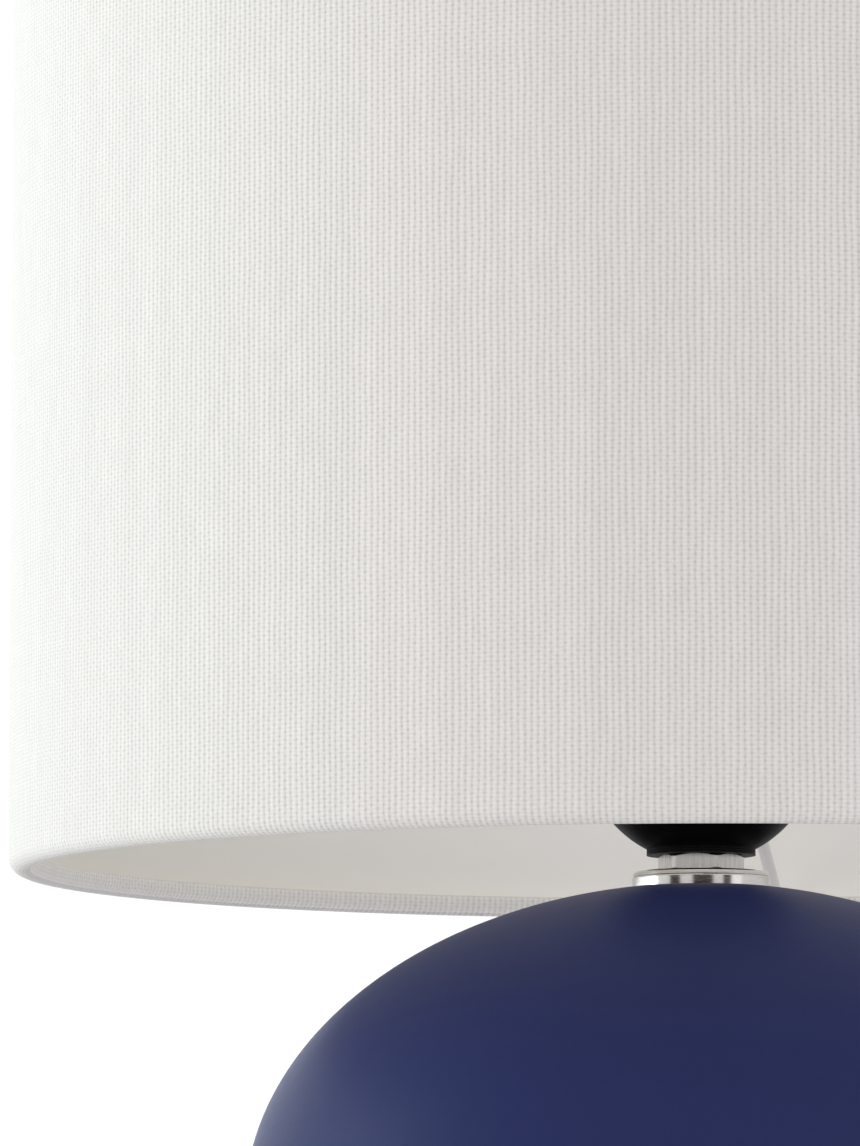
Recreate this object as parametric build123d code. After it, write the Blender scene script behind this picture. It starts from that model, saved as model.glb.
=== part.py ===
"""Table lamp: a flattened ceramic globe, a chromed neck, an E27 lampholder, a drum shade and an LED bulb.

Millimetres. The origin is the middle of the felt pad, on the surface that the lamp stands on.
+Z is up the lamp's axis, and +Y points to the back, where the mains flex comes in.
"""

import math
import os

from build123d import *

# ---------------------------------------------------------------- driving dimensions
BASE_RADIUS = 82.4          # half the width of the ceramic globe
BASE_HALF_HEIGHT = 58.4     # its half height, before the foot and the seat are cut
BASE_MIDDLE_Z = 48.0        # height of its widest line
CERAMIC_WALL = 5.0
FELT_RADIUS = 46.0
FELT_THICKNESS = 1.5
SEAT_RADIUS = 12.5          # ground flat at the top, which the neck stands on
SHADE_RADIUS = 125.0        # outside of the shade's fabric
SHADE_HEIGHT = 181.95
SHADE_ABOVE_SEAT = 2.35     # from the ceramic seat up to the shade's lower rim
SPIDER_RISE = 37.95         # from the lower rim up to the shoulder that carries the shade
BULB_LENGTH = 106.0
GLOBE_RADIUS = 30.0

# ---------------------------------------------------------------- base hardware
TUBE_RADIUS = 5.0           # M10 x 1 lamp tube, drawn plain at its major radius
TUBE_BORE = 3.9
SCREWED = 0.03              # radial clearance of what screws on the tube
PASSED = 0.4                # radial clearance of the plain holes that the tube passes
RECESS_RADIUS = 38.0        # hollow under the foot, which holds the wiring
RECESS_TOP_Z = 20.0
GASKET_RADIUS = 24.0
GASKET_THICKNESS = 1.5
CLAMP_RADIUS = 32.0
CLAMP_THICKNESS = 2.0
SPRING_WASHER = 1.6
NUT_FLATS = 14.0
NUT_HEIGHT = 3.0
TUBE_LOW_Z = 9.5
INLET_Z = 11.0              # axis of the flex inlet
INLET_BORE = 3.6
INLET_SLEEVE = 4.6
INLET_MOUTH_Y = 70.5
INLET_INNER_Y = 33.5

# ---------------------------------------------------------------- wiring
LEAD_RADIUS = 1.1
LEAD_SPREAD = 1.7           # each lead's distance from the axis inside the tube
POLE_X = 5.0                # the terminal block's two poles are at plus and minus this
POLE_Z = 11.5
BLOCK_Y = 22.2
BLOCK_SIZE = (17.6, 16.0, 11.0)
BLOCK_SCREW_PITCH = 7.0

# ---------------------------------------------------------------- neck and lampholder
NECK_RADIUS = 12.5
NECK_CUP_HEIGHT = 1.9
NECK_CUP_WALL = 0.6
NECK_CUP_DRAFT = 0.12       # how much narrower the cup is at its mouth than at its top
NECK_WASHER_RADIUS = 12.3
NECK_WASHER_THICKNESS = 0.9
NUT_TURN = -8.6             # how the neck nut happens to be turned, in degrees
FLANGE_RADIUS = 9.85
FLANGE_HEIGHT = 1.25
DOME_RADIUS = 21.35
DOME_WALL = 2.15
DOME_MIDDLE = 25.9          # the dome's centre, above the ceramic seat
DOME_COLLAR = 4.3           # its straight collar, above that centre
BOSS_RADIUS = 8.0
BOSS_HEIGHT = 7.5
HOLDER_BAND_RADIUS = 21.0
HOLDER_BORE = 17.3
HOLDER_THREAD_RADIUS = 19.3  # mean radius of the thread that takes the shade ring, drawn plain
HOLDER_TOP = 19.5           # from the shoulder to the top lip
HOLDER_LIP_BORE = 14.2
CAP_MEAN_RADIUS = 12.6      # the E27 screw has seven turns to the inch, and is drawn plain
SHELL_MEAN_RADIUS = 12.85
SHELL_WALL = 0.4

# ---------------------------------------------------------------- shade
FABRIC = 0.5
LINER = 0.4
RIM_WIRE = 1.5              # radius of the wire in each rim
ARM_WIRE = 1.2
ARM_COUNT = 3
ARM_FIRST_ANGLE = 82.9      # degrees from +X to the arm that points to the back
HEM_HEIGHT = 3.6            # fabric turned up inside each rim
FITTER_INNER = 20.2
FITTER_OUTER = 27.0
FITTER_THICKNESS = 1.5
SHADE_RING_BORE = 19.7
SHADE_RING_FLANGE = 27.5

# ---------------------------------------------------------------- worked-out levels
FOOT_Z = FELT_THICKNESS
SEAT_Z = BASE_MIDDLE_Z + BASE_HALF_HEIGHT * math.sqrt(1 - (SEAT_RADIUS / BASE_RADIUS) ** 2)
RIM_Z = SEAT_Z + SHADE_ABOVE_SEAT
SHADE_TOP_Z = RIM_Z + SHADE_HEIGHT
SHOULDER_Z = RIM_Z + SPIDER_RISE
CLAMP_TOP_Z = RECESS_TOP_Z - GASKET_THICKNESS
CLAMP_LOW_Z = CLAMP_TOP_Z - CLAMP_THICKNESS
BASE_NUT_Z = CLAMP_LOW_Z - SPRING_WASHER - NUT_HEIGHT
WASHER_Z = SEAT_Z + NECK_CUP_HEIGHT
NECK_NUT_Z = WASHER_Z + NECK_WASHER_THICKNESS
DOME_LOW_Z = NECK_NUT_Z + NUT_HEIGHT
DOME_MIDDLE_Z = SEAT_Z + DOME_MIDDLE
COLLAR_TOP_Z = DOME_MIDDLE_Z + DOME_COLLAR
BOSS_TOP_Z = DOME_LOW_Z + BOSS_HEIGHT
INSERT_LOW_Z = DOME_MIDDLE_Z - 4.2
INSERT_TOP_Z = INSERT_LOW_Z + 11.0
LEDGE_Z = INSERT_LOW_Z + 1.6        # the insert's flange sits on the dome here
INSERT_FLANGE = 2.5
CLAMPS_LOW_Z = INSERT_LOW_Z - 6.0
HOLDER_LEAD_Z = CLAMPS_LOW_Z + 3.0
TIP_Z = INSERT_TOP_Z + 2.85         # where the bulb's contact rests
RIM_WIRE_CIRCLE = SHADE_RADIUS - FABRIC - LINER - RIM_WIRE - 0.05
FOLD = SHADE_RADIUS - RIM_WIRE_CIRCLE    # radius of the fabric's turn round the rim wire
LOW_WIRE_Z = RIM_Z + FOLD
HIGH_WIRE_Z = SHADE_TOP_Z - FOLD
ARM_Z = SHOULDER_Z - ARM_WIRE


# ================================================================ helpers
def disc(radius, z_low, height):
    return Pos(0, 0, z_low + height / 2) * Cylinder(radius, height)


def ring(inner, outer, z_low, height):
    """A flat ring round the lamp's axis."""
    return disc(outer, z_low, height) - disc(inner, z_low - 1, height + 2)


def rod_along_y(radius, x, z, y_low, y_high):
    middle = Pos(x, (y_low + y_high) / 2, z)
    return middle * Rot(90, 0, 0) * Cylinder(radius, y_high - y_low)


def rod_along_x(radius, y, z, x_low, x_high):
    middle = Pos((x_low + x_high) / 2, y, z)
    return middle * Rot(0, 90, 0) * Cylinder(radius, x_high - x_low)


def turned(*points):
    """A solid turned round the axis from its (radius, z) corners."""
    return revolve(Plane.XZ * make_face(Polyline(*points, close=True)), Axis.Z)


def ellipsoid(half_width, half_height, z_middle):
    curve = EllipticalCenterArc((0, z_middle), half_width, half_height,
                                start_angle=-90, arc_size=180)
    outline = make_face([curve.edge(), Line(curve @ 1, curve @ 0).edge()])
    return revolve(Plane.XZ * outline, Axis.Z)


def hexagon_nut(flats, height, z_low, turn=0.0):
    """A nut for the tube, with its corners turned down and chamfered at both ends."""
    corner = flats / math.sqrt(3)
    prism = extrude(RegularPolygon(corner, 6), height)
    round_bar = Pos(0, 0, height / 2) * Cylinder(corner - 0.3, height)
    round_bar = chamfer(round_bar.edges().filter_by(GeomType.CIRCLE), length=0.45, length2=0.8)
    bore = Pos(0, 0, height / 2) * Cylinder(TUBE_RADIUS + SCREWED, height + 2)
    return Pos(0, 0, z_low) * Rot(0, 0, turn) * (prism & round_bar - bore)


def wire(points, radius):
    """Round wire along straight runs joined by arcs, each as large as its two runs allow."""
    corners = [Vector(*p) for p in points]
    radii = []
    for before, at, after in zip(corners, corners[1:], corners[2:]):
        run_in, run_out = at - before, after - at
        half_turn = math.radians(run_in.get_angle(run_out)) / 2
        radii.append(0.45 * min(run_in.length, run_out.length) / math.tan(half_turn))
    path = FilletPolyline(*points, radius=radii)
    solid = sweep(Plane(origin=path @ 0, z_dir=path % 0) * Circle(radius), path=path)
    share = solid.volume / (math.pi * radius ** 2 * path.length)
    print(f"wire of radius {radius}: bends {[round(r, 1) for r in radii]}, "
          f"volume over section times length {share:.3f}")
    return solid


# ================================================================ base
def ceramic_base():
    """Slip-cast globe with a closed hollow, and a recess in the foot for the wiring."""
    globe = ellipsoid(BASE_RADIUS, BASE_HALF_HEIGHT, BASE_MIDDLE_Z)
    globe &= disc(BASE_RADIUS + 1, FOOT_Z, SEAT_Z - FOOT_Z)
    globe = fillet(globe.edges().group_by(Axis.Z)[0], 2.0)
    hollow = ellipsoid(BASE_RADIUS - CERAMIC_WALL, BASE_HALF_HEIGHT - CERAMIC_WALL, BASE_MIDDLE_Z)
    hollow -= disc(RECESS_RADIUS + CERAMIC_WALL, -5, RECESS_TOP_Z + CERAMIC_WALL + 5)
    recess = disc(RECESS_RADIUS, 0, RECESS_TOP_Z)
    tube_hole = disc(TUBE_RADIUS + PASSED, 0, SEAT_Z + 1)
    inlet_hole = rod_along_y(INLET_SLEEVE + 0.15, 0, INLET_Z, 20, BASE_RADIUS + 5)
    return globe - hollow - recess - tube_hole - inlet_hole


def felt_pad():
    return disc(FELT_RADIUS, 0, FELT_THICKNESS)


def base_gasket():
    return ring(TUBE_RADIUS + PASSED, GASKET_RADIUS, CLAMP_TOP_Z, GASKET_THICKNESS)


def clamp_plate():
    plate = ring(TUBE_RADIUS + PASSED, CLAMP_RADIUS, CLAMP_LOW_Z, CLAMP_THICKNESS)
    screw_hole = Pos(0, BLOCK_Y, CLAMP_LOW_Z) * Cylinder(1.55, 10)
    return plate - screw_hole


def spring_washer():
    """A split washer, cut through on a slant."""
    washer = ring(TUBE_RADIUS + 0.3, 8.6, CLAMP_LOW_Z - SPRING_WASHER, SPRING_WASHER)
    slit = Pos(7, 0, CLAMP_LOW_Z - SPRING_WASHER / 2) * Rot(25, 0, 0) * Box(6, 0.8, 6)
    return washer - slit


def base_nut():
    return hexagon_nut(NUT_FLATS, NUT_HEIGHT, BASE_NUT_Z, turn=12)


def threaded_tube():
    tube = disc(TUBE_RADIUS, TUBE_LOW_Z, BOSS_TOP_Z - TUBE_LOW_Z)
    tube = chamfer(tube.edges().filter_by(GeomType.CIRCLE), 0.6)
    return tube - disc(TUBE_BORE, 0, 200)


def tube_bushes():
    """A plastic bush in each end of the tube keeps its edge off the leads."""
    sleeve_radius, bore, sleeve, lip = TUBE_BORE - 0.05, 3.2, 4.0, 0.8
    low = disc(sleeve_radius, TUBE_LOW_Z, sleeve) + disc(4.9, TUBE_LOW_Z - lip, lip)
    high = disc(sleeve_radius, BOSS_TOP_Z - sleeve, sleeve) + disc(4.9, BOSS_TOP_Z, lip)
    return [bush - disc(bore, 0, 200) for bush in (low, high)]


def cable_gland():
    """Inlet bush: a flange that fits the globe's curve, a straight mouth, and a sleeve to the recess."""
    stand, flange_radius, mouth_radius = 1.6, 7.4, 5.6
    skin = ellipsoid(BASE_RADIUS + stand, BASE_HALF_HEIGHT + stand, BASE_MIDDLE_Z)
    surface = ellipsoid(BASE_RADIUS + 0.05, BASE_HALF_HEIGHT + 0.05, BASE_MIDDLE_Z)
    flange = rod_along_y(flange_radius, 0, INLET_Z, 40, BASE_RADIUS) & skin
    mouth = rod_along_y(mouth_radius, 0, INLET_Z, 40, INLET_MOUTH_Y)
    mouth = fillet(mouth.edges().group_by(Axis.Y)[-1], 0.7)
    sleeve = rod_along_y(INLET_SLEEVE, 0, INLET_Z, INLET_INNER_Y, INLET_MOUTH_Y - 2)
    bore = rod_along_y(INLET_BORE, 0, INLET_Z, 20, BASE_RADIUS + 5)
    return (flange + mouth - surface) + sleeve - bore


def gland_nut():
    radius, thickness, y_high = 6.3, 3.0, 37.4
    nut = rod_along_y(radius, 0, INLET_Z, y_high - thickness, y_high)
    for k in range(8):
        turn = Pos(0, 0, INLET_Z) * Rot(0, 45 * k, 0) * Pos(0, 0, radius)
        nut -= turn * Pos(0, y_high, 0) * Rot(90, 0, 0) * Cylinder(0.9, 2 * thickness + 2)
    return nut - rod_along_y(INLET_SLEEVE + SCREWED, 0, INLET_Z, 20, 50)


# ================================================================ wiring
def pole_places():
    """(x, y) of the terminal block's four clamping screws."""
    half = BLOCK_SCREW_PITCH / 2
    return [(x, BLOCK_Y + dy) for x in (-POLE_X, POLE_X) for dy in (-half, half)]


def terminal_block():
    width, depth, height = BLOCK_SIZE
    z_low = CLAMP_LOW_Z - height
    block = Pos(0, BLOCK_Y, z_low + height / 2) * Box(width, depth, height)
    block = fillet(block.edges().filter_by(Axis.Z), 1.2)
    for x in (-POLE_X, POLE_X):
        block -= rod_along_y(2.25, x, POLE_Z, BLOCK_Y - depth, BLOCK_Y + depth)
    for x, y in pole_places():
        block -= Pos(x, y, z_low + 2) * Cylinder(1.5, 4 + 3)
    block -= Pos(0, BLOCK_Y, z_low) * Cylinder(1.6, 3 * height)
    return block - Pos(0, BLOCK_Y, z_low + 1.25) * Cylinder(2.8, 2.5)


def terminal_tubes():
    """The two brass tubes that join supply and leads."""
    tubes = []
    for x in (-POLE_X, POLE_X):
        tube = rod_along_y(2.2, x, POLE_Z, BLOCK_Y - 7, BLOCK_Y + 7)
        tube -= rod_along_y(1.4, x, POLE_Z, BLOCK_Y - 9, BLOCK_Y + 9)
        for sx, sy in pole_places():
            if sx == x:
                tube -= Pos(sx, sy, POLE_Z - 2) * Cylinder(1.3, 4)
        tubes.append(tube)
    return tubes


def terminal_screws():
    screws = []
    for x, y in pole_places():
        top, length = POLE_Z - LEAD_RADIUS - 0.05, 3.6
        screw = Pos(x, y, top - length / 2) * Cylinder(1.25, length)
        screws.append(screw - Pos(x, y, top - length) * Box(4, 0.5, 1.2))
    return screws


def block_screw():
    z_low = CLAMP_LOW_Z - BLOCK_SIZE[2]
    head_low, head, shank = z_low + 0.7, 1.8, 10.0
    screw = Pos(0, BLOCK_Y, head_low + head / 2) * Cylinder(2.7, head)
    screw += Pos(0, BLOCK_Y, head_low + head + shank / 2) * Cylinder(1.5, shank)
    for turn in (0, 90):
        screw -= Pos(0, BLOCK_Y, head_low) * Rot(0, 0, turn) * Box(3.4, 0.8, 1.8)
    return screw


def lead(side):
    """A single-core lead from the terminal block, under the tube's end and up it to the lampholder."""
    inner = side * LEAD_SPREAD
    pole = side * POLE_X
    low_z = 4.6
    route = [
        (pole, BLOCK_Y - 3.6, POLE_Z),
        (pole, BLOCK_Y - 10.2, POLE_Z - 0.3),
        (side * 3.8, 7.2, low_z + 0.5),
        (inner, 0, low_z),
        (inner, 0, HOLDER_LEAD_Z),
        (side * 10.8, 0, HOLDER_LEAD_Z),
    ]
    return wire(route, LEAD_RADIUS)


# ================================================================ neck
def neck_gasket():
    return ring(TUBE_RADIUS + PASSED, NECK_RADIUS - NECK_CUP_WALL - 0.2, SEAT_Z,
                NECK_CUP_HEIGHT - NECK_CUP_WALL)


def neck_cup():
    """A turned-down cap that hides the gasket, slightly narrower at its mouth."""
    cup = turned((0, SEAT_Z), (NECK_RADIUS - NECK_CUP_DRAFT, SEAT_Z), (NECK_RADIUS, WASHER_Z), (0, WASHER_Z))
    cup = fillet(cup.edges().group_by(Axis.Z)[-1], 0.35)
    cup -= disc(NECK_RADIUS - NECK_CUP_WALL, 0, WASHER_Z - NECK_CUP_WALL)
    return cup - disc(TUBE_RADIUS + PASSED, 0, 200)


def neck_washer():
    washer = disc(NECK_WASHER_RADIUS, WASHER_Z, NECK_WASHER_THICKNESS)
    washer = fillet(washer.edges().group_by(Axis.Z)[-1], 0.6)
    return washer - disc(TUBE_RADIUS + PASSED, 0, 200)


def neck_nut():
    return hexagon_nut(NUT_FLATS, NUT_HEIGHT, NECK_NUT_Z, NUT_TURN)


# ================================================================ lampholder
def holder_dome():
    """Black cap of the lampholder: a bowl with a grooved foot, a boss for the tube and a ledge."""
    bowl = Pos(0, 0, DOME_MIDDLE_Z) * Sphere(DOME_RADIUS)
    bowl &= disc(DOME_RADIUS + 1, DOME_LOW_Z + FLANGE_HEIGHT, DOME_MIDDLE_Z - DOME_LOW_Z - FLANGE_HEIGHT)
    outside = bowl + disc(DOME_RADIUS, DOME_MIDDLE_Z, DOME_COLLAR)
    outside += disc(FLANGE_RADIUS, DOME_LOW_Z, FLANGE_HEIGHT + 1)
    for level in (0.42, 0.84):
        outside -= ring(FLANGE_RADIUS - 0.25, 12, DOME_LOW_Z + level, 0.16)
    inner_radius = DOME_RADIUS - DOME_WALL
    inside = Pos(0, 0, DOME_MIDDLE_Z) * Sphere(inner_radius)
    inside &= disc(DOME_RADIUS, DOME_LOW_Z + FLANGE_HEIGHT, DOME_MIDDLE_Z - DOME_LOW_Z - FLANGE_HEIGHT)
    inside += disc(inner_radius, DOME_MIDDLE_Z, DOME_COLLAR + 1)
    inside -= disc(BOSS_RADIUS, DOME_LOW_Z, BOSS_HEIGHT)
    inside -= ring(16.8, DOME_RADIUS, INSERT_LOW_Z - 1.0, LEDGE_Z - INSERT_LOW_Z + 1.0)
    dome = outside - inside - disc(TUBE_RADIUS + SCREWED, 0, 200)
    return dome - rod_along_x(1.55, 0, BOSS_TOP_Z - 3, 0, 12)


def dome_lock_screw():
    """Grub screw in the boss that stops the lampholder turning on the tube."""
    screw = rod_along_x(1.5, 0, BOSS_TOP_Z - 3, TUBE_RADIUS + 0.05, 9.4)
    return screw - Pos(9.4, 0, BOSS_TOP_Z - 3) * Box(1.6, 0.5, 4)


def holder_insert():
    """Porcelain insert that carries the contacts."""
    body = disc(16.0, INSERT_LOW_Z, INSERT_TOP_Z - INSERT_LOW_Z)
    body = chamfer(body.edges().group_by(Axis.Z)[-1], 0.8)
    body += disc(18.3, LEDGE_Z, INSERT_FLANGE)
    for x, y in rivet_places():
        body -= Pos(x, y, INSERT_TOP_Z) * Cylinder(1.25, 30)
    return body


def rivet_places():
    """(x, y) of the rivets: one for the centre contact, two for the screw shell."""
    return [(-5.6, 0), (0, -10.5), (0, 10.5)]


def holder_rivets():
    """Each rivet runs from under the insert to a head on top of the part it holds."""
    rivets = []
    for x, y in rivet_places():
        held = 0.5 if y == 0 else SHELL_WALL
        top = INSERT_TOP_Z + held
        shank = top - INSERT_LOW_Z
        rivet = Pos(x, y, INSERT_LOW_Z + shank / 2) * Cylinder(1.2, shank)
        rivets.append(rivet + Pos(x, y, top + 0.3) * Cylinder(1.6, 0.6))
    return rivets


def centre_contact():
    """Bronze leaf that presses up on the bulb's tip."""
    thickness, width = 0.5, 5.0
    z = INSERT_TOP_Z
    low = [(-7.4, z), (-3.9, z), (0.0, z + 2.3), (2.8, z + 1.4)]
    high = [(x, level + thickness) for x, level in reversed(low)]
    leaf = extrude(Plane.XZ * make_face(Polyline(*low, *high, close=True)), width / 2, both=True)
    return leaf - Pos(-5.6, 0, z) * Cylinder(1.25, 6)


def screw_shell():
    """The E27 shell, with a flat flange that is riveted to the insert."""
    z_low, z_high = INSERT_TOP_Z, SHOULDER_Z + HOLDER_TOP - 3.6
    shell = disc(SHELL_MEAN_RADIUS + SHELL_WALL, z_low, z_high - z_low)
    shell = fillet(shell.edges().group_by(Axis.Z)[0], 0.3)
    shell -= disc(SHELL_MEAN_RADIUS, z_low + SHELL_WALL, z_high)
    shell -= disc(8.2, z_low - 1, 4)
    for x, y in rivet_places()[1:]:
        shell -= Pos(x, y, z_low) * Cylinder(1.25, 4)
    return shell


def holder_clamps():
    """Brass blocks under the insert that take the two leads."""
    clamps = []
    for side in (-1, 1):
        block = Pos(side * 10, 0, CLAMPS_LOW_Z + 3) * Box(5, 6, 6)
        block -= rod_along_x(1.6, 0, HOLDER_LEAD_Z, side * 10 - 4, side * 10 + 4)
        clamps.append(block - rod_along_y(1.28, side * 10, HOLDER_LEAD_Z, 0, 4))
    return clamps


def holder_clamp_screws():
    screws = []
    for side in (-1, 1):
        x = side * 10
        screw = rod_along_y(1.25, x, HOLDER_LEAD_Z, LEAD_RADIUS + 0.05, 3.4)
        screw += rod_along_y(2.2, x, HOLDER_LEAD_Z, 3.1, 4.9)
        screws.append(screw - Pos(x, 4.9, HOLDER_LEAD_Z) * Box(5, 1.4, 0.6))
    return screws


def holder_skirt():
    """Outer sleeve: a spigot in the dome, a smooth band, the shade thread and a lip over the shell."""
    top_z = SHOULDER_Z + HOLDER_TOP
    spigot_low = LEDGE_Z + INSERT_FLANGE
    spigot = disc(DOME_RADIUS - DOME_WALL - 0.1, spigot_low, COLLAR_TOP_Z - spigot_low + 1)
    band_low = COLLAR_TOP_Z + 0.15
    band = disc(HOLDER_BAND_RADIUS, band_low, SHOULDER_Z - band_low)
    band = fillet(band.edges().group_by(Axis.Z)[0], 0.5)
    thread = disc(HOLDER_THREAD_RADIUS, SHOULDER_Z, HOLDER_TOP)
    thread = fillet(thread.edges().group_by(Axis.Z)[-1], 0.8)
    bore = disc(HOLDER_BORE, 0, top_z - 2)
    return spigot + band + thread - bore - disc(HOLDER_LIP_BORE, 0, 300)


def shade_ring():
    """Screwed ring that clamps the shade's fitter on the shoulder, with finger hollows round its flange."""
    z_low = SHOULDER_Z + FITTER_THICKNESS
    flange = disc(SHADE_RING_FLANGE, z_low, 2.4)
    count = 16
    for k in range(count):
        flange -= Rot(0, 0, 360 * k / count) * Pos(SHADE_RING_FLANGE + 1.6, 0, z_low) * Cylinder(2.6, 8)
    body = disc(23.5, z_low, 8.5)
    body = fillet(body.edges().group_by(Axis.Z)[-1], 0.8)
    return flange + body - disc(SHADE_RING_BORE, 0, 300)


# ================================================================ shade
def fitter_ring():
    """Stamped ring that sits on the lampholder's shoulder."""
    return ring(FITTER_INNER, FITTER_OUTER, SHOULDER_Z, FITTER_THICKNESS)


def arm_angles():
    return [ARM_FIRST_ANGLE + 360 * k / ARM_COUNT for k in range(ARM_COUNT)]


def arm_corners():
    """(radius, z) of an arm's start under the fitter, of its bend, and of its weld to the rim wire."""
    bend = 33.0
    slope = math.atan2(ARM_Z - LOW_WIRE_Z, RIM_WIRE_CIRCLE - bend)
    weld = (RIM_WIRE_CIRCLE - RIM_WIRE * math.cos(slope), LOW_WIRE_Z + RIM_WIRE * math.sin(slope))
    return [(22.3, ARM_Z), (bend, ARM_Z), weld]


def spider_arms():
    """Wires that run from the fitter ring down to the wire in the lower rim."""
    arm = wire([(r, 0, z) for r, z in arm_corners()], ARM_WIRE)
    return [Rot(0, 0, angle) * arm for angle in arm_angles()]


def rim_wire(z):
    return Pos(0, 0, z) * Torus(RIM_WIRE_CIRCLE, RIM_WIRE)


def shade_liner():
    """Stiff plastic sheet, rolled into a drum, that the fabric is bonded to."""
    outer = SHADE_RADIUS - FABRIC
    return ring(outer - LINER, outer, LOW_WIRE_Z, HIGH_WIRE_Z - LOW_WIRE_Z)


def shade_cover():
    """Fabric skin, turned round both rim wires and up inside, with a slit for each arm."""
    def fold(radius, z, first, last):
        return CenterArc((RIM_WIRE_CIRCLE, z), radius, first, last - first)

    outer, inner = FOLD, FOLD - FABRIC
    hem_low, hem_high = RIM_Z + HEM_HEIGHT, SHADE_TOP_Z - HEM_HEIGHT
    hem_out, hem_in = RIM_WIRE_CIRCLE - outer, RIM_WIRE_CIRCLE - inner
    section = make_face([
        fold(outer, LOW_WIRE_Z, 0, -180).edge(),
        Polyline((hem_out, LOW_WIRE_Z), (hem_out, hem_low), (hem_in, hem_low),
                 (hem_in, LOW_WIRE_Z)).edges(),
        fold(inner, LOW_WIRE_Z, -180, 0).edge(),
        Line((SHADE_RADIUS - FABRIC, LOW_WIRE_Z), (SHADE_RADIUS - FABRIC, HIGH_WIRE_Z)).edge(),
        fold(inner, HIGH_WIRE_Z, 0, 180).edge(),
        Polyline((hem_in, HIGH_WIRE_Z), (hem_in, hem_high), (hem_out, hem_high),
                 (hem_out, HIGH_WIRE_Z)).edges(),
        fold(outer, HIGH_WIRE_Z, 180, 0).edge(),
        Line((SHADE_RADIUS, HIGH_WIRE_Z), (SHADE_RADIUS, LOW_WIRE_Z)).edge(),
    ])
    cover = revolve(Plane.XZ * section, Axis.Z)
    slit = rod_along_x(ARM_WIRE + 0.3, 0, LOW_WIRE_Z + 0.8, hem_out - 4, hem_in + 0.3)
    for angle in arm_angles():
        cover -= Rot(0, 0, angle) * slit
    return cover


# ================================================================ bulb
GLOBE_MIDDLE_Z = TIP_Z + BULB_LENGTH - GLOBE_RADIUS
CAP_THREAD_LOW_Z = TIP_Z + 3.55
CAP_THREAD_HIGH_Z = CAP_THREAD_LOW_Z + 17.5
HOUSING_LOW_Z = CAP_THREAD_HIGH_Z + 4.0
GLOBE_LOW_Z = GLOBE_MIDDLE_Z - 12.7


def bulb_globe():
    """Opal diffuser, open below."""
    wall = 1.2
    globe = Pos(0, 0, GLOBE_MIDDLE_Z) * (Sphere(GLOBE_RADIUS) - Sphere(GLOBE_RADIUS - wall))
    return globe & disc(GLOBE_RADIUS + 1, GLOBE_LOW_Z, 60)


def bulb_housing():
    """White body that carries the globe, with a sleeve inside the screw cap."""
    rise = GLOBE_LOW_Z - HOUSING_LOW_Z
    z = HOUSING_LOW_Z
    outside = [(13.7, z), (14.4, z + 1.6), (17.0, z + 0.2 * rise), (24.2, z + 0.62 * rise),
               (28.0, GLOBE_LOW_Z - 0.1)]
    inside = [(26.0, GLOBE_LOW_Z - 0.1), (22.2, z + 0.62 * rise), (15.0, z + 0.2 * rise),
              (10.2, z + 1.6), (10.2, z - 8)]
    return turned(*outside, *inside, (11.3, z - 8), (11.3, z))


def bulb_cap():
    """E27 screw cap, with a plain crimped collar above the thread."""
    cap = disc(CAP_MEAN_RADIUS, CAP_THREAD_LOW_Z, CAP_THREAD_HIGH_Z - CAP_THREAD_LOW_Z)
    cap = chamfer(cap.edges().group_by(Axis.Z)[0], 0.5)
    cap += disc(13.2, CAP_THREAD_HIGH_Z, 3.9)
    return cap - disc(11.6, 0, 300)


def bulb_insulator():
    z = CAP_THREAD_LOW_Z
    return turned((0, z - 2.6), (5.2, z - 2.6), (11.5, z - 0.1), (11.5, z + 3), (0, z + 3))


def bulb_contact():
    button = disc(4.6, TIP_Z, CAP_THREAD_LOW_Z - 2.6 - TIP_Z)
    return fillet(button.edges().group_by(Axis.Z)[0], 0.5)


def led_board():
    return disc(24.0, GLOBE_LOW_Z - 2.0, 1.6)


def led_chips():
    count, circle = 10, 16.0
    chip = Pos(circle, 0, GLOBE_LOW_Z) * Box(2.8, 3.5, 0.8)
    return [Rot(0, 0, 360 * k / count) * chip for k in range(count)]


def led_driver():
    """Circuit board of the driver with its capacitor and coil, upright in the housing."""
    z = HOUSING_LOW_Z + 4
    length = 30.0
    board = Pos(0, 0, z + length / 2) * Box(17, 1.6, length)
    capacitor = Pos(-3.5, -4.3, z + 20) * Cylinder(3.5, 12)
    coil = Pos(4, -3.8, z + 18) * Box(7, 6, 8)
    return board + capacitor + coil


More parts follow.
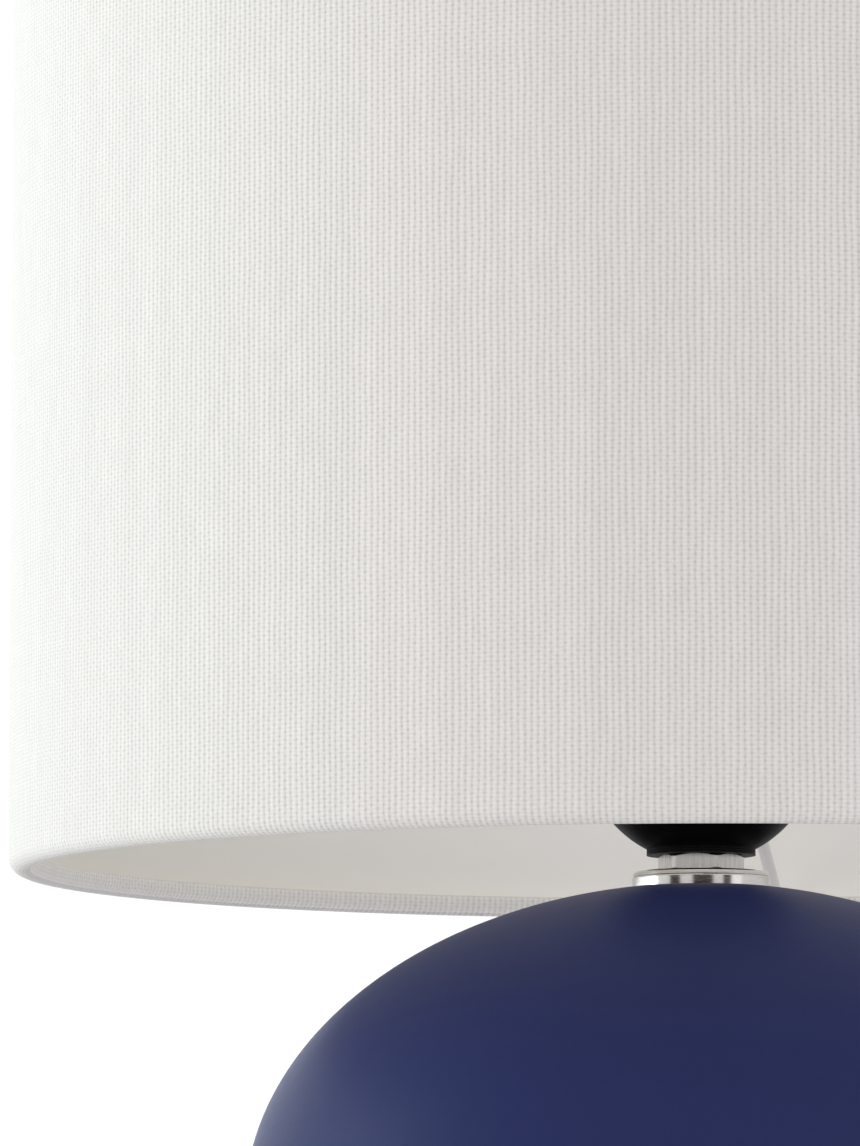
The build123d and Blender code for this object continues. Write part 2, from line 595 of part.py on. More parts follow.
# ================================================================ files
PARTS = {
    "ceramic_base": ceramic_base,
    "felt_pad": felt_pad,
    "base_gasket": base_gasket,
    "clamp_plate": clamp_plate,
    "spring_washer": spring_washer,
    "base_nut": base_nut,
    "threaded_tube": threaded_tube,
    "tube_bushes": tube_bushes,
    "cable_gland": cable_gland,
    "gland_nut": gland_nut,
    "terminal_block": terminal_block,
    "terminal_tubes": terminal_tubes,
    "terminal_screws": terminal_screws,
    "block_screw": block_screw,
    "lead_live": lambda: lead(1),
    "lead_neutral": lambda: lead(-1),
    "neck_gasket": neck_gasket,
    "neck_cup": neck_cup,
    "neck_washer": neck_washer,
    "neck_nut": neck_nut,
    "holder_dome": holder_dome,
    "dome_lock_screw": dome_lock_screw,
    "holder_insert": holder_insert,
    "holder_rivets": holder_rivets,
    "centre_contact": centre_contact,
    "screw_shell": screw_shell,
    "holder_clamps": holder_clamps,
    "holder_clamp_screws": holder_clamp_screws,
    "holder_skirt": holder_skirt,
    "shade_ring": shade_ring,
    "fitter_ring": fitter_ring,
    "spider_arms": spider_arms,
    "lower_rim_wire": lambda: rim_wire(LOW_WIRE_Z),
    "upper_rim_wire": lambda: rim_wire(HIGH_WIRE_Z),
    "shade_liner": shade_liner,
    "shade_cover": shade_cover,
    "bulb_globe": bulb_globe,
    "bulb_housing": bulb_housing,
    "bulb_cap": bulb_cap,
    "bulb_insulator": bulb_insulator,
    "bulb_contact": bulb_contact,
    "led_board": led_board,
    "led_chips": led_chips,
    "led_driver": led_driver,
}

os.makedirs("parts", exist_ok=True)
for name, make in PARTS.items():
    made = make()
    solids = made if isinstance(made, list) else [made]
    shape = Compound(children=[s for part in solids for s in part.solids()])
    export_step(shape, f"parts/{name}.step")
print(f"seat {SEAT_Z:.2f}, rim {RIM_Z:.2f}, shoulder {SHOULDER_Z:.2f}, tip {TIP_Z:.2f}, "
      f"housing {HOUSING_LOW_Z:.2f}, globe {GLOBE_LOW_Z:.2f} to {GLOBE_MIDDLE_Z + GLOBE_RADIUS:.2f}")
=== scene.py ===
# %% [markdown]
# # A table lamp with a drum shade
# This lesson dresses a finished model of a small table lamp: a flattened ceramic globe, a chromed neck, a black
# lampholder and a woven drum shade. The solid parts come ready made from the frame. The felt, the fabric and the
# three threaded parts are made here, and every part gets a finish of its own.

import bmesh
import bpy
import math
from mathutils import Matrix, Vector


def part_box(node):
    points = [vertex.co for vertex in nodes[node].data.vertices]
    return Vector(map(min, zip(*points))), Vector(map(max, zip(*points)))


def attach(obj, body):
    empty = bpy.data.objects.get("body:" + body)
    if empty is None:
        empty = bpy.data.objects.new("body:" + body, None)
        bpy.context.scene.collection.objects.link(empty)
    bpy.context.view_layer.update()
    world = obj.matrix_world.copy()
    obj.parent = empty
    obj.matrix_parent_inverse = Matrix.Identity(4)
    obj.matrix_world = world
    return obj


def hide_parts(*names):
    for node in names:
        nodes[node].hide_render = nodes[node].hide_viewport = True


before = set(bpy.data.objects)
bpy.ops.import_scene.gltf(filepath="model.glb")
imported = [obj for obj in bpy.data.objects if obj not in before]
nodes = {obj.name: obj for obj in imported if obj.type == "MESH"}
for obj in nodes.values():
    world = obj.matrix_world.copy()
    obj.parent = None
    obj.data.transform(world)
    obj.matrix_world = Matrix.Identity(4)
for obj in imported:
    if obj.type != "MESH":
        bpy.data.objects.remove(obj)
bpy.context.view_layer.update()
print("parts in the frame:", len(nodes))

# %% [markdown]
# ## Sizes
# Heights are read from the parts themselves, and so are the radii of the drum and the felt, so a piece that is made
# here stands where the one it replaces stood. The other radii and thicknesses are written out beside the piece.

# %% Sizes read from the frame
MM = 0.001
cover_low, cover_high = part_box("shade_cover")
SHADE_RADIUS = cover_high.x
RIM_Z, TOP_Z = cover_low.z, cover_high.z
print(f"shade radius {SHADE_RADIUS:.4f}, from {RIM_Z:.4f} to {TOP_Z:.4f}")

# %% [markdown]
# ## The camera
# A long lens from one and a half metres away keeps upright edges nearly parallel. The camera stands just above the
# table top and looks slightly up, so that the underside of the shade can be seen.

# %% Camera
camera = bpy.data.objects.new("camera", bpy.data.cameras.new("camera"))
bpy.context.scene.collection.objects.link(camera)
bpy.context.scene.camera = camera
DISTANCE, EYE_Z, AIM_Z = 1.5, 0.0035, 0.1629
LENS_MM, SENSOR_MM, YAW_DEGREES, FARTHEST = 261.1, 36, 1.872, 50
camera.data.lens = LENS_MM
camera.data.sensor_width = SENSOR_MM
camera.data.clip_end = FARTHEST
yaw = math.radians(YAW_DEGREES)
pitch = math.atan2(AIM_Z - EYE_Z, DISTANCE * math.cos(yaw))
camera.location = (0, -DISTANCE, EYE_Z)
camera.rotation_euler = (math.radians(90) + pitch, 0, yaw)
print(f"camera pitch {math.degrees(pitch):.2f} degrees")

# %% [markdown]
# ## Light
# A product studio is a white room: light comes from everywhere, with one large soft lamp to the left that gives the
# drum its gentle fall from light to shade, and a weak one to the right that keeps the far edge from going grey. The
# room itself is a little dimmer than the backdrop that the camera sees, which keeps white cloth from washing out.
# Chrome shows only what stands round it. Black cards out of view give it the dark streaks that make it read as metal,
# and a lit card behind the lamp gives the glaze its pale left edge. Reflections alone see the cards.

# %% Studio
AMBIENT_COLOR, AMBIENT_STRENGTH, BACKDROP_STRENGTH = (1, 0.969, 0.977, 1), 0.86, 1.05
scene = bpy.context.scene
scene.view_settings.view_transform = "Standard"
world = bpy.data.worlds.new("white_room")
scene.world = world
world.use_nodes = True
room = world.node_tree
room.nodes.clear()
world_out = room.nodes.new("ShaderNodeOutputWorld")
mixer = room.nodes.new("ShaderNodeMixShader")
seen = room.nodes.new("ShaderNodeLightPath")
ambient = room.nodes.new("ShaderNodeBackground")
backdrop = room.nodes.new("ShaderNodeBackground")
ambient.inputs["Color"].default_value = AMBIENT_COLOR
ambient.inputs["Strength"].default_value = AMBIENT_STRENGTH
backdrop.inputs["Color"].default_value = (1, 1, 1, 1)
backdrop.inputs["Strength"].default_value = BACKDROP_STRENGTH
room.links.new(seen.outputs["Is Camera Ray"], mixer.inputs[0])
room.links.new(ambient.outputs[0], mixer.inputs[1])
room.links.new(backdrop.outputs[0], mixer.inputs[2])
room.links.new(mixer.outputs[0], world_out.inputs["Surface"])


def soft_lamp(name, place, aim, size, power, color=(1, 1, 1)):
    lamp = bpy.data.objects.new(name, bpy.data.lights.new(name, "AREA"))
    lamp.data.shape = "RECTANGLE"
    lamp.data.size, lamp.data.size_y = size
    lamp.data.energy = power
    lamp.data.color = color
    lamp.location = place
    lamp.rotation_euler = (Vector(aim) - Vector(place)).to_track_quat("-Z", "Y").to_euler()
    scene.collection.objects.link(lamp)


def made(name, shape):
    """An object in the scene from a finished shape, which is then let go."""
    piece = bpy.data.objects.new(name, bpy.data.meshes.new(name))
    shape.to_mesh(piece.data)
    shape.free()
    scene.collection.objects.link(piece)
    return piece


def flat_board(name, half_size, where=Matrix()):
    """A square of the studio, which isn't part of the lamp."""
    shape = bmesh.new()
    bmesh.ops.create_grid(shape, x_segments=1, y_segments=1, size=half_size, matrix=where)
    board = made(name, shape)
    return board


soft_lamp("key_left", place=(-2.0, 0.10, 0.52), aim=(0, 0, 0.14), size=(1.0, 1.2), power=18.5,
          color=(0.85, 1.0, 0.98))
soft_lamp("fill_right", place=(1.7, -1.0, 0.6), aim=(0, 0, 0.18), size=(0.9, 1.2), power=2.3)
floor = flat_board("floor", half_size=2)


FLOOR_GAP = 0.001


def card(name, bearing, half_angle, away, height):
    """An upright board that only reflections see, with its foot on the floor and its face to the lamp."""
    half_width = away * math.tan(math.radians(half_angle))
    upright = (Matrix.Rotation(math.radians(bearing), 4, "Z")
               @ Matrix.Translation((0, -away, height / 2 + FLOOR_GAP))
               @ Matrix.Rotation(math.radians(90), 4, "X") @ Matrix.Diagonal((half_width, height / 2, 1, 1)))
    board = flat_board(name, 1, upright)
    board.visible_camera = board.visible_diffuse = board.visible_shadow = board.visible_transmission = False
    return board


BLACK_CARDS = ((-44, 9), (3, 17), (44, 7))
black_cards = [card(f"black_card_{k}", bearing, half_angle, away=0.6, height=0.2)
               for k, (bearing, half_angle) in enumerate(BLACK_CARDS)]
strip_card = card("strip_card", bearing=-132, half_angle=38, away=1.6, height=0.9)
print("cards:", len(black_cards) + 1)

# %% [markdown]
# ## Writing materials as sums
# A material is a small program on the surface. Joining its nodes by hand hides the arithmetic, so one class wraps
# a socket and lets plus, minus, times and the rest build the nodes, and one method adds any other node.


# %% Finishes
class Signal:
    """A socket's value, which can be added, multiplied and compared like a number."""

    def __init__(self, finish, socket):
        self.finish, self.socket = finish, socket

    def _math(self, operation, *values):
        return self.finish.node("ShaderNodeMath", {"operation": operation}, dict(enumerate(values)))

    def __add__(self, other):
        return self._math("ADD", self, other)

    def __sub__(self, other):
        return self._math("SUBTRACT", self, other)

    def __rsub__(self, other):
        return self._math("SUBTRACT", other, self)

    def __mul__(self, other):
        return self._math("MULTIPLY", self, other)

    def __truediv__(self, other):
        return self._math("DIVIDE", self, other)

    __radd__, __rmul__ = __add__, __mul__

    def __lt__(self, other):
        return self._math("LESS_THAN", self, other)

    def __gt__(self, other):
        return self._math("GREATER_THAN", self, other)

    def sin(self):
        return self._math("SINE", self)

    def cos(self):
        return self._math("COSINE", self)

    def abs(self):
        return self._math("ABSOLUTE", self)

    def max(self, other):
        return self._math("MAXIMUM", self, other)

    def part(self, name):
        """Another output of the same node."""
        return Signal(self.finish, self.socket.node.outputs[name])


MIX_A, MIX_B, MIX_RESULT = 6, 7, 2  # the colour sockets of a Mix node


class Finish:
    """A material with one Principled shader, whose fixed values are given by name."""

    def __init__(self, name, **fixed):
        self.material = bpy.data.materials.new(name)
        self.material.use_nodes = True
        self.tree = self.material.node_tree
        self.shader = self.tree.nodes["Principled BSDF"]
        for socket, value in fixed.items():
            self.shader.inputs[socket.replace("_", " ")].default_value = value

    def node(self, kind, settings=None, inputs=None):
        """Any node: its type, its settings, then the values or links of its sockets."""
        node = self.tree.nodes.new(kind)
        for key, value in (settings or {}).items():
            setattr(node, key, value)
        for key, value in (inputs or {}).items():
            if isinstance(value, Signal):
                self.tree.links.new(value.socket, node.inputs[key])
            else:
                node.inputs[key].default_value = value
        return Signal(self, next(s for s in node.outputs if s.enabled))

    def place(self):
        """Where a point is on the object, in metres."""
        return self.node("ShaderNodeTexCoord").part("Object")

    def cloud(self, size, where=None, detail=2.0, stretch=(1, 1, 1)):
        """Smooth noise from 0 to 1 with blobs of about that size in metres."""
        where = where or self.place()
        where = self.node("ShaderNodeMapping", None, {"Vector": where, "Scale": stretch})
        return self.node("ShaderNodeTexNoise", None, {"Vector": where, "Scale": 1 / size, "Detail": detail})

    def blend(self, amount, low, high):
        """A colour between two colours."""
        mix = self.node("ShaderNodeMix", {"data_type": "RGBA"}, {"Factor": amount})
        for index, color in ((MIX_A, low), (MIX_B, high)):
            if isinstance(color, Signal):
                self.tree.links.new(color.socket, mix.socket.node.inputs[index])
            else:
                mix.socket.node.inputs[index].default_value = (*color, 1)
        return Signal(self, mix.socket.node.outputs[MIX_RESULT])

    def feed(self, socket, signal):
        """Let a signal drive one of the shader's sockets."""
        self.tree.links.new(signal.socket, self.shader.inputs[socket])

    def relief(self, height, depth):
        """Height from 0 to 1 becomes a relief of that depth in metres."""
        bump = self.node("ShaderNodeBump", None, {"Height": height, "Distance": depth})
        self.feed("Normal", bump)

    def on(self, *pieces):
        """Put this finish on pieces, given as objects or by their names in the frame."""
        for piece in pieces:
            piece = nodes[piece] if isinstance(piece, str) else piece
            if not piece.material_slots:
                piece.data.materials.append(None)
            for holder in piece.material_slots:
                holder.material = self.material
        return self


print("Signal wraps a socket, and Finish wraps a material")

# %% [markdown]
# ## The studio's own finishes
# The floor is pale plaster. The black cards return next to nothing, and the lit card glows a little.

# %% Floor and cards
plaster = Finish("studio_floor", Roughness=0.9)
plaster.feed("Base Color", plaster.blend(plaster.cloud(0.5), (0.90, 0.90, 0.90), (0.93, 0.93, 0.93)))
plaster.on(floor)
velvet = Finish("black_card", Roughness=1.0, Specular_IOR_Level=0.0)
velvet.feed("Base Color", velvet.blend(velvet.cloud(0.02), (0.002, 0.002, 0.002), (0.004, 0.004, 0.004)))
velvet.on(*black_cards)
strip = Finish("lit_card", Roughness=1.0, Emission_Strength=1.3, Emission_Color=(0.9, 0.97, 1.0, 1))
strip.feed("Base Color", strip.blend(strip.cloud(0.5), (0.8, 0.8, 0.8), (0.82, 0.82, 0.82)))
strip.on(strip_card)
print("studio finishes:", plaster.material.name, velvet.material.name, strip.material.name)

# %% [markdown]
# ## The glazed globe
# The globe is slip-cast stoneware under a satin blue glaze. Its colour and its gloss drift in faint clouds, over a
# grain and a relief too fine to see one by one.

# %% Glaze
glaze = Finish("satin_blue_glaze", Roughness=0.42, IOR=1.5, Specular_IOR_Level=0.08)
clouds = glaze.cloud(0.035, detail=4.0)
fine = glaze.cloud(0.0012, detail=2.0)
glaze.feed("Base Color", glaze.blend(clouds * 0.6 + fine * 0.4, (0.018, 0.025, 0.098), (0.024, 0.033, 0.120)))
glaze.feed("Roughness", 0.40 + clouds * 0.10 + fine * 0.06)
glaze.relief(fine * 0.5 + glaze.cloud(0.006) * 0.5, 0.00005)
glaze.on("ceramic_base")
print("glazed:", glaze.material.name)

# %% [markdown]
# ## The felt pad
# The pad is a die-cut disc of pressed felt, stuck under the foot. A disc of faces is pushed up into a thin slab, and
# its lower edge is rounded over, as the die leaves it.

# %% Felt pad
FELT_EDGE = 0.0004
felt_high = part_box("felt_pad")[1]
shape = bmesh.new()
bmesh.ops.create_circle(shape, cap_ends=True, segments=128, radius=felt_high.x)
grown = bmesh.ops.extrude_face_region(shape, geom=shape.faces[:])
top = [element for element in grown["geom"] if isinstance(element, bmesh.types.BMVert)]
bmesh.ops.translate(shape, vec=(0, 0, felt_high.z), verts=top)
bmesh.ops.recalc_face_normals(shape, faces=shape.faces)
rim = [e for e in shape.edges if e.verts[0].co.z == e.verts[1].co.z == 0]
bmesh.ops.bevel(shape, geom=rim, offset=FELT_EDGE, segments=3, profile=0.5, affect="EDGES", material=-1)
felt_pad = made("felt_disc", shape)
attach(felt_pad, "base")
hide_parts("felt_pad")
print("felt disc", round(2 * felt_high.x, 4), "m across")

# %% Felt finish
felt = Finish("pressed_felt", Roughness=0.95, Sheen_Weight=0.3)
fibres = felt.cloud(0.0006, detail=6.0, stretch=(1, 0.4, 1))
felt.feed("Base Color", felt.blend(fibres, (0.012, 0.012, 0.014), (0.045, 0.045, 0.05)))
felt.relief(fibres, 0.0004)
felt.on(felt_pad)
print("felt finish:", felt.material.name)


# %% [markdown]
# ## Metals
# Plated parts differ mostly in roughness. Each has very fine turned or rubbed marks, which break the reflection.

# %% Metals
def plated(name, low, high, rough, grain, depth, stretch=(1, 1, 1)):
    metal = Finish(name, Metallic=1.0)
    marks = metal.cloud(grain, detail=5.0, stretch=stretch)
    metal.feed("Base Color", metal.blend(marks, low, high))
    metal.feed("Roughness", rough + marks * rough)  # the dullest marks are twice as rough as the brightest
    metal.relief(marks, depth)
    return metal


plated("polished_chrome", (0.60, 0.60, 0.58), (0.74, 0.74, 0.72), 0.11, 0.002, 0.000004,
       (1, 1, 12)).on("neck_cup", "neck_washer")
plated("scratched_nickel", (0.42, 0.42, 0.41), (0.86, 0.86, 0.85), 0.20, 0.0005, 0.00001,
       (1, 1, 0.1)).on("neck_nut")
plated("zinc_plate", (0.50, 0.50, 0.47), (0.66, 0.66, 0.62), 0.24, 0.001, 0.00001).on(
    "clamp_plate", "spring_washer", "base_nut", "threaded_tube", "block_screw", "dome_lock_screw")
brass = plated("bright_brass", (0.62, 0.44, 0.17), (0.78, 0.60, 0.28), 0.16, 0.0012, 0.000006).on(
    "terminal_tubes", "terminal_screws", "holder_clamps", "holder_clamp_screws", "holder_rivets",
    "centre_contact", "bulb_contact")
nickel = plated("nickel_cap", (0.58, 0.57, 0.54), (0.70, 0.69, 0.66), 0.20, 0.0015, 0.000008, (1, 1, 6))
print("finishes with the metals:", len(bpy.data.materials))


# %% [markdown]
# ## Moulded parts
# A moulded surface copies its tool: a faint orange peel on gloss, and a fine spark-eroded grain on satin black.

# %% Mouldings
PEEL_ROUGHNESS = 0.12


def moulded(name, low, high, rough, grain, depth, **fixed):
    plastic = Finish(name, **fixed)
    peel = plastic.cloud(grain, detail=3.0)
    plastic.feed("Base Color", plastic.blend(peel, low, high))
    plastic.feed("Roughness", rough + peel * PEEL_ROUGHNESS)
    plastic.relief(peel, depth)
    return plastic


thermoset = moulded("black_thermoset", (0.001, 0.001, 0.001), (0.003, 0.003, 0.003), 0.46, 0.0005, 0.00006,
                    Specular_IOR_Level=0.1).on("holder_dome")
moulded("black_nylon", (0.010, 0.010, 0.011), (0.018, 0.018, 0.020), 0.45, 0.0008, 0.00003).on(
    "cable_gland", "gland_nut")
moulded("black_rubber", (0.012, 0.012, 0.012), (0.022, 0.022, 0.022), 0.7, 0.0006, 0.00004).on(
    "base_gasket", "neck_gasket")
moulded("white_nylon", (0.66, 0.66, 0.62), (0.74, 0.74, 0.70), 0.4, 0.002, 0.00002).on(
    "terminal_block", "tube_bushes")
moulded("brown_sleeving", (0.10, 0.035, 0.012), (0.14, 0.05, 0.02), 0.3, 0.002, 0.00001).on("lead_live")
moulded("blue_sleeving", (0.015, 0.06, 0.28), (0.02, 0.09, 0.36), 0.3, 0.002, 0.00001).on("lead_neutral")
moulded("porcelain", (0.70, 0.68, 0.62), (0.78, 0.76, 0.71), 0.3, 0.003, 0.00004).on("holder_insert")
moulded("white_powder_coat", (0.72, 0.71, 0.68), (0.78, 0.77, 0.74), 0.34, 0.0009, 0.00003).on(
    "shade_ring", "fitter_ring", "spider_arms", "lower_rim_wire", "upper_rim_wire")
moulded("bulb_plastic", (0.76, 0.76, 0.74), (0.80, 0.80, 0.78), 0.38, 0.002, 0.00001).on("bulb_housing")
moulded("opal_diffuser", (0.84, 0.84, 0.82), (0.88, 0.88, 0.86), 0.24, 0.006, 0.00001,
        Subsurface_Weight=0.2, Subsurface_Scale=0.004).on("bulb_globe")
moulded("black_glass", (0.006, 0.006, 0.007), (0.012, 0.012, 0.013), 0.1, 0.002, 0.00001).on("bulb_insulator")
moulded("white_board", (0.72, 0.72, 0.71), (0.78, 0.78, 0.77), 0.4, 0.004, 0.00001).on("led_board")
moulded("green_board", (0.010, 0.09, 0.035), (0.02, 0.13, 0.05), 0.35, 0.002, 0.00002).on("led_driver")
moulded("phosphor", (0.70, 0.50, 0.06), (0.80, 0.60, 0.10), 0.3, 0.001, 0.00001).on("led_chips")
print("finishes with the mouldings:", len(bpy.data.materials))

# %% [markdown]
# ## The lining
# The drum is stiffened by a white laminate. Daylight soaks through cloth and laminate together, so the inside of a
# real drum is brighter than bounced light alone would make it. Two thin walls that pass light are slow and noisy to
# trace, so the lining gives out the little that would come through, and more of it on the right than on the left.

# %% Lining
lining = moulded("shade_laminate", (0.70, 0.685, 0.655), (0.735, 0.72, 0.69), 0.5, 0.02, 0.00004,
                 Emission_Strength=0.25)
side = lining.node("ShaderNodeSeparateXYZ", None, {"Vector": lining.place()}).part("X")
DIM_X, BRIGHT_X = -0.115, -0.020
DIM_GLOW, BRIGHT_GLOW = (0.54, 0.515, 0.43), (0.98, 0.955, 0.93)
lining.feed("Emission Color", lining.blend((side - DIM_X) / (BRIGHT_X - DIM_X), DIM_GLOW, BRIGHT_GLOW))
lining.on("shade_liner")
print(f"the lining's glow grows from x = {DIM_X} to x = {BRIGHT_X}")

# %% [markdown]
# ## Rolled and cut threads
# The frame's threads are plain, which is enough to screw and to weigh, but not to look at when the bulb is out. A
# threaded part is spun from its outline, and then its skin is pushed in and out along a helix. The push depends only
# on how a point's angle and height fit the helix, so a bulb's cap and its shell stay in step as the cap screws out.


# %% Spin a part and roll its thread
STEPS_AROUND, STEPS_A_PITCH, FADE_PITCHES, SHARP_DEGREES = 96, 10, 0.4, 38


def threaded(name, stands_for, body, outline, low, high, pitch, wave, outer_only=False):
    """A turned part from its outline in mm, with a thread of that pitch and half depth between two heights."""
    shape = bmesh.new()
    corners = [shape.verts.new((r * MM, 0, z * MM)) for r, z in outline]
    for a, b in zip(corners, corners[1:] + corners[:1]):
        shape.edges.new((a, b))
    for edge in [e for e in shape.edges if abs(e.verts[0].co.z - e.verts[1].co.z) > 2 * pitch * MM]:
        cuts = int(edge.calc_length() / (pitch * MM) * STEPS_A_PITCH)
        bmesh.ops.subdivide_edges(shape, edges=[edge], cuts=cuts)
    bmesh.ops.spin(shape, geom=shape.verts[:] + shape.edges[:], axis=(0, 0, 1), cent=(0, 0, 0),
                   angle=2 * math.pi, steps=STEPS_AROUND, use_merge=True)
    bmesh.ops.remove_doubles(shape, verts=shape.verts, dist=0.01 * MM)
    bmesh.ops.recalc_face_normals(shape, faces=shape.faces)
    middle = sum(r for r, z in outline) / len(outline) * MM
    for vert in shape.verts:
        radius, z = math.hypot(vert.co.x, vert.co.y), vert.co.z / MM
        fade = min(1, max(0, min(z - low, high - z) / (FADE_PITCHES * pitch)))
        if radius and fade and not (outer_only and radius < middle):
            turned = math.atan2(vert.co.y, vert.co.x) - 2 * math.pi * z / pitch
            pushed = radius + fade * wave * MM * math.cos(turned)
            vert.co.x, vert.co.y = vert.co.x / radius * pushed, vert.co.y / radius * pushed
    piece = made(name, shape)
    piece.data.polygons.foreach_set("use_smooth", [True] * len(piece.data.polygons))
    piece.data.set_sharp_from_angle(angle=math.radians(SHARP_DEGREES))
    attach(piece, body)
    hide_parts(stands_for)
    print(name, len(piece.data.polygons), "faces")
    return piece


# %% [markdown]
# ## The three threaded parts
# The bulb's cap is pressed from thin sheet and crimped to its collar. The shell that it screws into is rolled from
# sheet too, and turned in at the bottom where it is riveted down. The holder's sleeve is moulded, with a finer
# thread outside for the ring that holds the shade.

# %% Cap and shell
E27_PITCH, ROLL = 25.4 / 7, 0.5
CAP_R, COLLAR_R, CAP_BORE_R, COLLAR_HEIGHT, CAP_ROUND = 12.6, 13.2, 11.6, 3.9, 0.5
SHELL_R, SHELL_BORE_R, SHELL_HOLE_R, SHELL_SHEET, SHELL_PLAIN = 13.25, 12.85, 8.2, 0.4, 0.6
cap_z, collar_z = [corner.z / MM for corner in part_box("bulb_cap")]
crimp_z = collar_z - COLLAR_HEIGHT
cap = threaded("bulb_screw_cap", "bulb_cap", "bulb",
               [(CAP_R - CAP_ROUND, cap_z), (CAP_R, cap_z + CAP_ROUND), (CAP_R, crimp_z),
                (COLLAR_R, crimp_z), (COLLAR_R, collar_z), (CAP_BORE_R, collar_z), (CAP_BORE_R, cap_z)],
               cap_z, crimp_z, E27_PITCH, ROLL, outer_only=True)
nickel.on(cap)

shell_z, lip_z = [corner.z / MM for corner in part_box("screw_shell")]
shell = threaded("rolled_shell", "screw_shell", "base",
                 [(SHELL_HOLE_R, shell_z), (SHELL_R, shell_z), (SHELL_R, lip_z), (SHELL_BORE_R, lip_z),
                  (SHELL_BORE_R, shell_z + SHELL_SHEET), (SHELL_HOLE_R, shell_z + SHELL_SHEET)],
                 shell_z + SHELL_PLAIN, lip_z, E27_PITCH, ROLL)
brass.on(shell)

# %% Sleeve
SLEEVE_PITCH, SLEEVE_ROLL, THREAD_HEIGHT, LIP_HEIGHT, BAND_HEIGHT = 2.5, 0.3, 19.5, 2, 9.95
SPIGOT_R, BAND_R, THREAD_R, SLEEVE_BORE_R, MOUTH_R = 19.1, 21.0, 19.3, 17.3, 14.2
BAND_ROUND, TOP_ROUND, PLAIN_BELOW, PLAIN_ABOVE = 0.4, 0.7, 0.3, 0.8
spigot_z, top_z = [corner.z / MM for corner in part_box("holder_skirt")]
shoulder_z, lip_under_z = top_z - THREAD_HEIGHT, top_z - LIP_HEIGHT
band_z = shoulder_z - BAND_HEIGHT
sleeve = threaded("holder_sleeve", "holder_skirt", "base",
                  [(SPIGOT_R, spigot_z), (SPIGOT_R, band_z), (BAND_R - BAND_ROUND, band_z),
                   (BAND_R, band_z + BAND_ROUND), (BAND_R, shoulder_z), (THREAD_R, shoulder_z),
                   (THREAD_R, top_z - TOP_ROUND), (THREAD_R - TOP_ROUND, top_z), (MOUTH_R, top_z),
                   (MOUTH_R, lip_under_z), (SLEEVE_BORE_R, lip_under_z), (SLEEVE_BORE_R, spigot_z)],
                  shoulder_z + PLAIN_BELOW, top_z - PLAIN_ABOVE, SLEEVE_PITCH, SLEEVE_ROLL, outer_only=True)
thermoset.on(sleeve)

# %% [markdown]
# ## The fabric of the shade
# The cover is one flat cut of plain-weave cloth, rolled into a drum with a short overlap at the back and turned
# over both rim wires. So it is made the same way: a flat grid, whose points are rolled up one by one. The flat cut
# gives the cloth its own coordinates, and the threads are drawn on those.

# %% Roll the cover
cover_thickness = 0.5 * MM
fold = 2.45 * MM
hem_rise = 3.6 * MM
overlap = 10 * MM
lap_ramp = 4 * MM
seam_angle = math.radians(90)
around = 2 * math.pi * SHADE_RADIUS
lip = hem_rise - fold
turn = math.pi * fold
wall = TOP_Z - RIM_Z - 2 * fold
flat_width, flat_height = around + overlap, wall + 2 * (turn + lip)


def on_profile(along):
    """Radius and height of a point that far along the cut, from the edge inside the lower rim."""
    wire_r = SHADE_RADIUS - fold
    if along < lip:
        return wire_r - fold, RIM_Z + hem_rise - along
    along -= lip
    if along < turn:
        angle = math.pi + along / fold
        return wire_r + fold * math.cos(angle), RIM_Z + fold + fold * math.sin(angle)
    along -= turn
    if along < wall:
        return SHADE_RADIUS, RIM_Z + fold + along
    along -= wall
    if along < turn:
        angle = along / fold
        return wire_r + fold * math.cos(angle), TOP_Z - fold + fold * math.sin(angle)
    along -= turn
    return wire_r - fold, TOP_Z - fold - along


LIP_ROWS, TURN_ROWS, WALL_ROWS, COLUMNS = 2, 12, 14, 420
rows = [lip * k / LIP_ROWS for k in range(LIP_ROWS + 1)]
rows += [lip + turn * k / TURN_ROWS for k in range(1, TURN_ROWS + 1)]
rows += [lip + turn + wall * k / WALL_ROWS for k in range(1, WALL_ROWS + 1)]
rows += [lip + turn + wall + turn * k / TURN_ROWS for k in range(1, TURN_ROWS + 1)]
rows += [lip + 2 * turn + wall + lip * k / LIP_ROWS for k in range(1, LIP_ROWS + 1)]
shape = bmesh.new()
bmesh.ops.create_grid(shape, x_segments=COLUMNS, y_segments=len(rows) - 1, size=0.5)
cut_map = shape.loops.layers.uv.new("cut")
for face in shape.faces:
    for loop in face.loops:
        along = rows[round((loop.vert.co.y + 0.5) * (len(rows) - 1))]
        loop[cut_map].uv = (loop.vert.co.x + 0.5, along / flat_height)
for vert in shape.verts:
    across = (vert.co.x + 0.5) * flat_width
    along = rows[round((vert.co.y + 0.5) * (len(rows) - 1))]
    radius, z = on_profile(along)
    lap = min(1.0, max(0.0, (across - around + lap_ramp) / lap_ramp))
    radius += lap * cover_thickness * (1 if along > lip + turn / 2 else -1)
    angle = seam_angle + across / SHADE_RADIUS
    vert.co = (radius * math.cos(angle), radius * math.sin(angle), z)
bmesh.ops.recalc_face_normals(shape, faces=shape.faces)
cover = made("shade_fabric", shape)
cover.data.polygons.foreach_set("use_smooth", [True] * len(cover.data.polygons))
thick = cover.modifiers.new("cloth", "SOLIDIFY")
thick.thickness, thick.offset = cover_thickness, -1
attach(cover, "shade")
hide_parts("shade_cover")
print(f"cut {flat_width:.3f} by {flat_height:.3f} m, {len(cover.data.polygons)} faces")
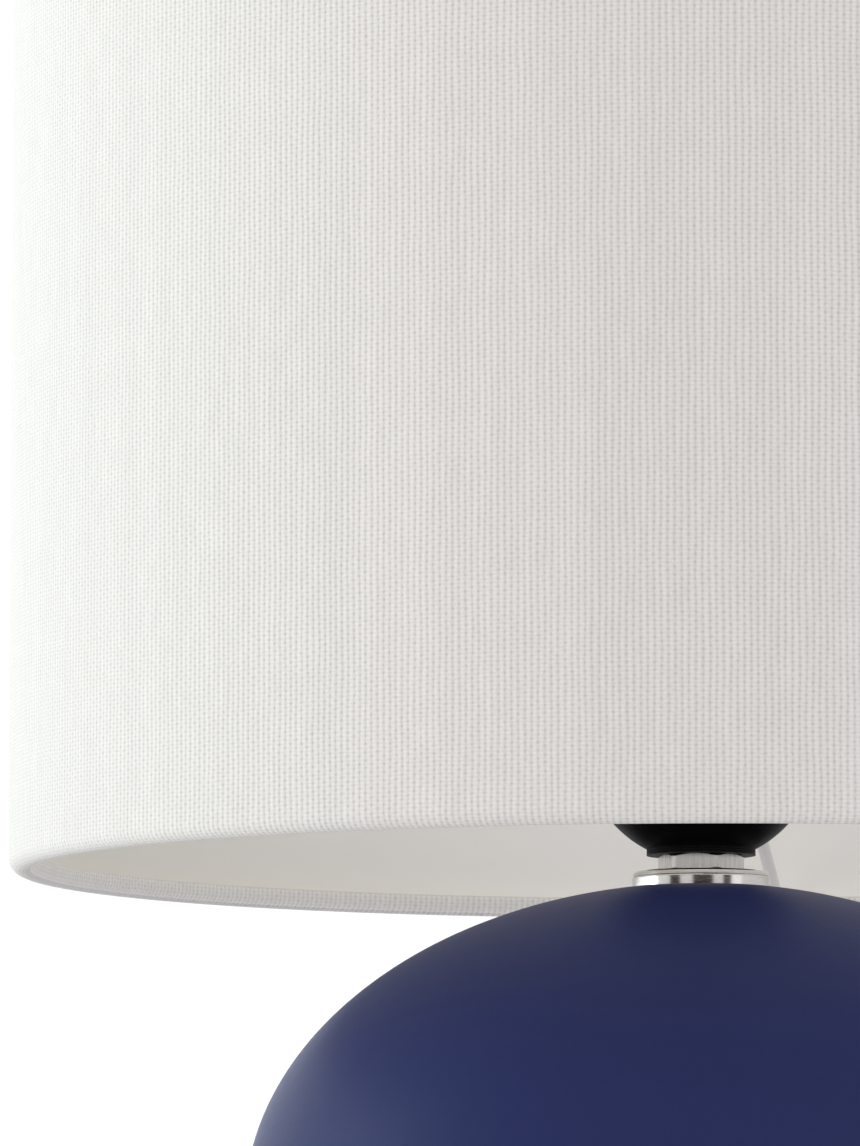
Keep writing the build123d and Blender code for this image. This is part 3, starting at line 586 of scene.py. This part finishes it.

# %% [markdown]
# ## Weave
# The cloth's upright yarns are fat and stand proud as ribs. The cross yarns show only between them, as small lit and
# dark spots that swap places from one gap to the next, because in a plain weave neighbours always do the opposite. A
# sine across the cut gives the ribs, a sine up the cut gives the rows, and a product of cosines gives the swapping
# spots. These go into the relief, and into the colour too, as painted light on the yarn tops and painted shade in the
# gaps between yarns. Slow noise, stretched along the yarns, makes some of them thicker and paler than others, as in
# spun cloth.

# %% Weave
RIB, PICK = 1.15 * MM, 0.69 * MM
STRAY_ACROSS, STRAY_UP, WEAVE_DEPTH = 0.6, 0.8, 0.00014
ribs, picks = round(flat_width / RIB), round(flat_height / PICK)
weave = Finish("plain_weave", Roughness=0.85, Sheen_Weight=0.12, Emission_Strength=0.2)
cut = weave.node("ShaderNodeUVMap", {"uv_map": "cut"})
split = weave.node("ShaderNodeSeparateXYZ", None, {"Vector": cut})
along_rim, up_cut = split.part("X"), split.part("Y")
flat = weave.node("ShaderNodeMapping", None, {"Vector": cut, "Scale": (flat_width, flat_height, 1)})
wander = weave.cloud(0.005, where=flat, stretch=(1, 0.35, 1)) - 0.5
drift = weave.cloud(0.0025, where=flat, stretch=(0.5, 1, 1)) - 0.5
x = (along_rim * ribs + wander * STRAY_ACROSS) * math.pi
y = (up_cut * picks + drift * STRAY_UP) * math.pi
rib = x.sin().abs()
spots = x.cos() * y.cos()
yarn = weave.cloud(0.0011, where=flat, detail=3.0, stretch=(1, 0.16, 1))
fleck = weave.cloud(0.0005, where=flat, detail=2.0)
slub = weave.cloud(0.012, where=flat, detail=2.0, stretch=(2, 0.08, 1))
pick = y.sin().abs()
# The rib, row and spot terms are painted light on the yarn tops and painted shade in the gaps; yarn, fleck and slub
# are the cloth's own uneven tone.
yarn_tone_and_gap_shade = rib * 0.36 + pick * 0.17 + (1 - rib) * spots * 0.10 + yarn * 0.25 + fleck * 0.26 + slub * 0.14
weave.feed("Base Color", weave.blend(yarn_tone_and_gap_shade, (0.466, 0.450, 0.432), (0.885, 0.864, 0.838)))
print("ribs:", ribs, "picks:", picks)
weave.relief(rib * 0.5 + spots * (1 - rib) * 0.2 + pick * 0.2 + yarn * 0.1, WEAVE_DEPTH)

# %% [markdown]
# The turned hem inside the rims is lit from behind like the lining, and only there, so a mask on the cut's own height
# keeps the glow off the outside.

# %% Hem glow
TURN_LIT = 0.3
hem_low = (lip + turn * TURN_LIT) / flat_height
inside = (up_cut < hem_low).max(up_cut > 1 - hem_low)
weave.feed("Emission Color", weave.blend(inside, (0, 0, 0), (0.66, 0.63, 0.58)))
weave.on(cover)
print(f"the hem glows over {hem_low * flat_height / MM:.1f} mm at each rim")
